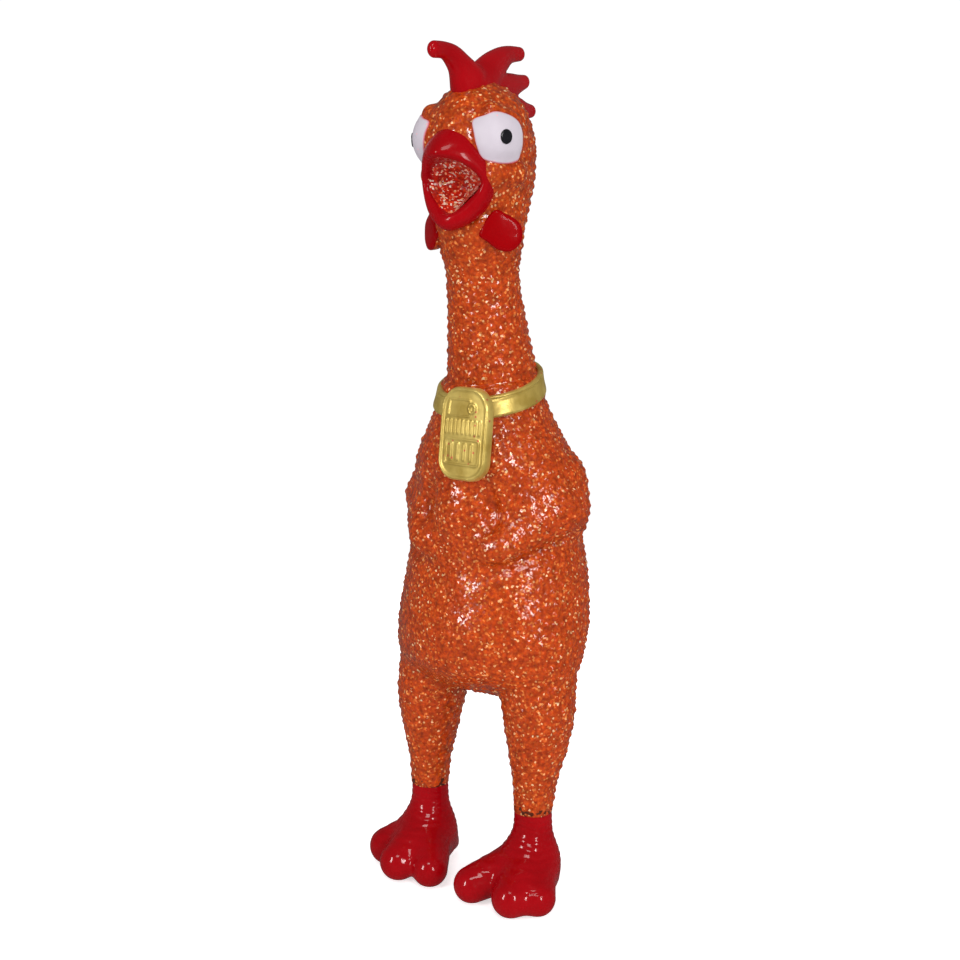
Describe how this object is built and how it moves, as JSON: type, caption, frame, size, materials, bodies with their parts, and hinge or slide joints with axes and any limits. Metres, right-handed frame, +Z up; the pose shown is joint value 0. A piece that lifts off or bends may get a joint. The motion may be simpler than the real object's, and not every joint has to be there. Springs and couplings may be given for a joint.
{
  "type": "rubber chicken",
  "caption": "Squeezable standing rubber chicken in glittery clear vinyl, with a soft neck, legs and belly and a reed squeaker inside the throat.",
  "frame": {"origin": "on the floor, under the middle of the bird's overall box", "axes": "+Z up, beak towards -Y, the bird's left side towards +X"},
  "size_m": [0.086, 0.0798, 0.32],
  "materials": {
    "glitter_vinyl": "clear glossy vinyl packed with copper-orange glitter",
    "mouth_vinyl": "glossy red-tinted vinyl with glitter",
    "red_paint": "glossy red paint over vinyl",
    "gold_paint": "satin olive-gold paint over vinyl",
    "eye_white": "glossy white paint over vinyl",
    "pupil_black": "glossy black paint over vinyl",
    "squeaker_plastic": "moulded polyethylene, ivory",
    "reed_strip": "thin amber plastic strip"
  },
  "bodies": {
    "torso": {"torso_skin": "glitter_vinyl", "left_wing": "glitter_vinyl", "right_wing": "glitter_vinyl", "tail": "glitter_vinyl", "collar_band": "gold_paint", "name_tag": "gold_paint", "squeaker_barrel": "squeaker_plastic", "squeaker_cap": "squeaker_plastic", "reed_block": "squeaker_plastic", "reed_clip": "squeaker_plastic"},
    "belly": {"belly_panel": "glitter_vinyl"},
    "reed": {"reed_tongue": "reed_strip"},
    "neck_base": {"neck_lower": "glitter_vinyl"},
    "neck_top": {"neck_upper": "glitter_vinyl"},
    "head": {"head_skin": "glitter_vinyl", "mouth_lining": "mouth_vinyl", "upper_beak": "red_paint", "lower_beak": "red_paint", "comb": "red_paint", "left_eye": "eye_white", "right_eye": "eye_white", "left_pupil": "pupil_black", "right_pupil": "pupil_black", "left_wattle": "red_paint", "right_wattle": "red_paint"},
    "left_leg": {"left_leg": "glitter_vinyl"},
    "right_leg": {"right_leg": "glitter_vinyl"},
    "left_foot": {"left_foot": "red_paint"},
    "right_foot": {"right_foot": "red_paint"}
  },
  "joints": [
    {"name": "belly_squeeze", "type": "slide", "parent": "torso", "child": "belly", "axis": [0, 1, 0], "range_m": [0, 0.01], "stiffness_N_per_m": 400},
    {"name": "reed_buzz", "type": "hinge", "parent": "torso", "child": "reed", "pos_m": [0, -0.0006, 0.1684], "axis": [1, 0, 0], "range_deg": [-4, 1], "stiffness_Nm_per_rad": 0.002},
    {"name": "neck_nod", "type": "hinge", "parent": "torso", "child": "neck_base", "pos_m": [0, 0, 0.2], "axis": [1, 0, 0], "range_deg": [-20, 20], "stiffness_Nm_per_rad": 1.2},
    {"name": "neck_sway", "type": "hinge", "parent": "neck_base", "child": "neck_top", "pos_m": [0, -0.00387, 0.22196], "axis": [0, 0.9848, 0.1736], "range_deg": [-20, 20], "stiffness_Nm_per_rad": 0.9},
    {"name": "head_twist", "type": "hinge", "parent": "neck_top", "child": "head", "pos_m": [0, -0.00757, 0.24294], "axis": [0, -0.1736, 0.9848], "range_deg": [-35, 35], "stiffness_Nm_per_rad": 0.5},
    {"name": "left_hip", "type": "hinge", "parent": "torso", "child": "left_leg", "pos_m": [0.0215, -0.0035, 0.09], "axis": [1, 0, 0], "range_deg": [-25, 25], "stiffness_Nm_per_rad": 2.5},
    {"name": "right_hip", "type": "hinge", "parent": "torso", "child": "right_leg", "pos_m": [-0.0215, -0.0035, 0.09], "axis": [1, 0, 0], "range_deg": [-25, 25], "stiffness_Nm_per_rad": 2.5},
    {"name": "left_ankle", "type": "hinge", "parent": "left_leg", "child": "left_foot", "pos_m": [0.0245, -0.0077, 0.034], "axis": [1, 0, 0], "range_deg": [-20, 20], "stiffness_Nm_per_rad": 2},
    {"name": "right_ankle", "type": "hinge", "parent": "right_leg", "child": "right_foot", "pos_m": [-0.0245, -0.0077, 0.034], "axis": [1, 0, 0], "range_deg": [-20, 20], "stiffness_Nm_per_rad": 2}
  ]
}
